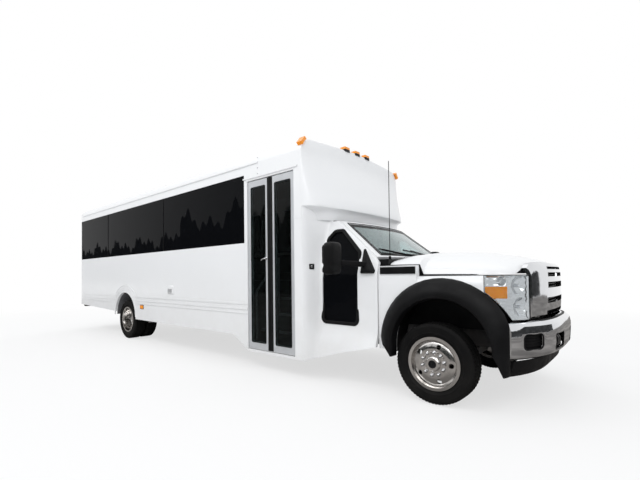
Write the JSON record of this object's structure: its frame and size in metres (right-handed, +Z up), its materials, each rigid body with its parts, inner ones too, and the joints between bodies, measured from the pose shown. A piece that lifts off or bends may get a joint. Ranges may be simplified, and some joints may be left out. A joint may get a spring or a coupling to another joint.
{
  "type": "party bus",
  "caption": "Shuttle-style party bus on a truck chassis with a cab nose, a boxy white body, a dark window band, a tall double-leaf entrance, steered front wheels and twin rear wheels.",
  "frame": {"origin": "on the ground under the middle of the bus's bounding box", "axes": "+X forward, +Y to the driver's left, +Z up"},
  "size_m": [10.4, 2.96, 3.127],
  "materials": {
    "white_paint": "gloss",
    "frame_black": "satin",
    "grey_metal": "rough",
    "steel": "satin",
    "chrome": "polished",
    "aluminium": "satin",
    "black_plastic": "matte",
    "interior": "matte",
    "floor_grey": "matte",
    "upholstery": "soft",
    "clear_lens": "clear",
    "amber_lens": "gloss",
    "red_lens": "gloss",
    "clear_glass": "clear",
    "tinted_glass": "dark tint",
    "tyre": "matte"
  },
  "bodies": {
    "bus": {"chassis_frame": "frame_black", "engine": "grey_metal", "radiator": "interior", "front_axle": "frame_black", "springs": "frame_black", "rear_axle": "frame_black", "exhaust": "steel", "fuel_tank": "frame_black", "cab_floor": "floor_grey", "windshield_frame": "white_paint", "cab_side_right": "white_paint", "cab_side_left": "white_paint", "dashboard": "interior", "driver_seat": "upholstery", "fenders": "white_paint", "flares": "black_plastic", "wheel_liners": "black_plastic", "grille": "chrome", "front_bumper": "chrome", "air_dam": "black_plastic", "headlamps": "clear_lens", "cowl": "black_plastic", "windshield": "clear_glass", "mirror_right": "black_plastic", "floor": "floor_grey", "wheel_boxes": "floor_grey", "floor_bearers": "frame_black", "stepwell": "floor_grey", "wall_right": "white_paint", "wall_left": "white_paint", "rear_wall": "white_paint", "roof": "white_paint", "front_cap": "white_paint", "tinted_windows": "tinted_glass", "bench_seats": "upholstery", "grab_rails": "steel", "rear_bumper": "frame_black", "tail_lamps": "red_lens", "marker_lamps": "amber_lens", "tow_eyes": "frame_black"},
    "knuckle_left_body": {"knuckle_left": "grey_metal"},
    "knuckle_right_body": {"knuckle_right": "grey_metal"},
    "tie_rod_body": {"tie_rod": "grey_metal"},
    "wheel_front_left": {"tyre_front_left": "tyre", "rim_front_left": "chrome"},
    "wheel_front_right": {"tyre_front_right": "tyre", "rim_front_right": "chrome"},
    "wheels_rear_left": {"tyres_rear_left": "tyre", "rims_rear_left": "chrome"},
    "wheels_rear_right": {"tyres_rear_right": "tyre", "rims_rear_right": "chrome"},
    "hood_body": {"hood": "white_paint"},
    "driver_door_body": {"driver_door": "white_paint", "driver_glass": "clear_glass", "mirror_left": "black_plastic"},
    "leaf_rear_body": {"leaf_rear": "aluminium", "leaf_rear_glass": "tinted_glass"},
    "leaf_front_body": {"leaf_front": "aluminium", "leaf_front_glass": "tinted_glass"}
  },
  "joints": [
    {"name": "steer_left", "type": "hinge", "parent": "bus", "child": "knuckle_left_body", "pos_m": [4.215, 0.83, 0.403], "axis": [0, 0, 1], "range_deg": [-35, 35]},
    {"name": "steer_right", "type": "hinge", "parent": "bus", "child": "knuckle_right_body", "pos_m": [4.215, -0.83, 0.403], "axis": [0, 0, 1], "range_deg": [-35, 35]},
    {"name": "tie_rod_pivot", "type": "hinge", "parent": "knuckle_left_body", "child": "tie_rod_body", "pos_m": [4.055, 0.83, 0.3], "axis": [0, 0, 1], "range_deg": [-35, 35]},
    {"name": "spin_front_left", "type": "hinge", "parent": "knuckle_left_body", "child": "wheel_front_left", "pos_m": [4.215, 0.95, 0.403], "axis": [0, 1, 0], "continuous": true},
    {"name": "spin_front_right", "type": "hinge", "parent": "knuckle_right_body", "child": "wheel_front_right", "pos_m": [4.215, -0.95, 0.403], "axis": [0, 1, 0], "continuous": true},
    {"name": "spin_rear_left", "type": "hinge", "parent": "bus", "child": "wheels_rear_left", "pos_m": [-2.485, 0.94, 0.403], "axis": [0, 1, 0], "continuous": true},
    {"name": "spin_rear_right", "type": "hinge", "parent": "bus", "child": "wheels_rear_right", "pos_m": [-2.485, -0.94, 0.403], "axis": [0, 1, 0], "continuous": true},
    {"name": "hood_hinge", "type": "hinge", "parent": "bus", "child": "hood_body", "pos_m": [3.659, 0, 1.486], "axis": [0, -1, 0], "range_deg": [0, 50]},
    {"name": "driver_door_hinge", "type": "hinge", "parent": "bus", "child": "driver_door_body", "pos_m": [3.547, 1.014, 1], "axis": [0, 0, -1], "range_deg": [0, 65]},
    {"name": "leaf_rear_hinge", "type": "hinge", "parent": "bus", "child": "leaf_rear_body", "pos_m": [1.594, -1.193, 1.45], "axis": [0, 0, -1], "range_deg": [0, 90]},
    {"name": "leaf_front_hinge", "type": "hinge", "parent": "bus", "child": "leaf_front_body", "pos_m": [2.466, -1.193, 1.45], "axis": [0, 0, 1], "range_deg": [0, 90]}
  ],
  "couplings": [
    {"joint": "steer_right", "follows": "steer_left", "ratio": 1},
    {"joint": "tie_rod_pivot", "follows": "steer_left", "ratio": -1},
    {"joint": "leaf_front_hinge", "follows": "leaf_rear_hinge", "ratio": 1}
  ]
}
